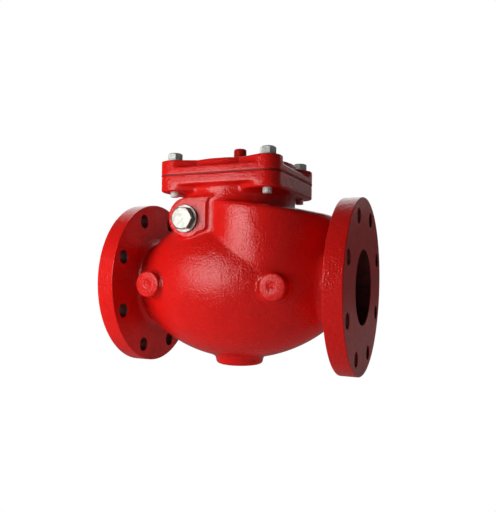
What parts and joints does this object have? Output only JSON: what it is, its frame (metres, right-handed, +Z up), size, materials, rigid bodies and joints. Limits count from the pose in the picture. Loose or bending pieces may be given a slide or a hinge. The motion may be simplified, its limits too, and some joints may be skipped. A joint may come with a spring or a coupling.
{
  "type": "swing check valve",
  "caption": "Flanged swing check valve: red cast body with a bolted cover, and a hinged disc that lets water through one way and drops back on its seat.",
  "frame": {"origin": "centre of the inlet flange's face, on the axis of the waterway", "axes": "+X along the waterway in the direction of the flow, +Z up towards the bolted cover, +Y completing a right-handed frame"},
  "size_m": [0.33, 0.2286, 0.3023],
  "materials": {
    "red_paint": "gloss red enamel over cast iron",
    "zinc_plate": "zinc plated steel",
    "stainless": "machined stainless steel",
    "bronze": "machined bronze",
    "iron": "coated ductile iron",
    "black_rubber": "matt moulded rubber"
  },
  "bodies": {
    "casing": {"body": "red_paint", "cover": "red_paint", "cover_gasket": "black_rubber", "cover_bolts": "zinc_plate", "cover_washers": "zinc_plate", "hinge_pin": "stainless", "front_pin_bush": "bronze", "rear_pin_bush": "bronze", "front_thrust_washer": "bronze", "rear_thrust_washer": "bronze", "front_hinge_plug": "zinc_plate", "rear_hinge_plug": "zinc_plate", "front_plug_washer": "zinc_plate", "rear_plug_washer": "zinc_plate", "front_plug_seal": "black_rubber", "rear_plug_seal": "black_rubber", "seat_ring": "bronze", "seat_o_ring": "black_rubber"},
    "clapper": {"clapper_arm": "iron", "front_arm_bush": "bronze", "rear_arm_bush": "bronze"},
    "disc_assembly": {"disc": "iron", "disc_facing": "black_rubber", "facing_retainer": "stainless", "retainer_screws": "stainless", "disc_washer": "stainless", "disc_nut": "stainless", "nut_split_pin": "stainless"}
  },
  "joints": [
    {"name": "clapper_swing", "type": "hinge", "parent": "casing", "child": "clapper", "pos_m": [0.114, 0, 0.086], "axis": [0, -1, 0], "range_deg": [0, 75]},
    {"name": "disc_spin", "type": "hinge", "parent": "clapper", "child": "disc_assembly", "pos_m": [0.10695, 0, 0], "axis": [0.9945, 0, 0.1045], "continuous": true}
  ]
}
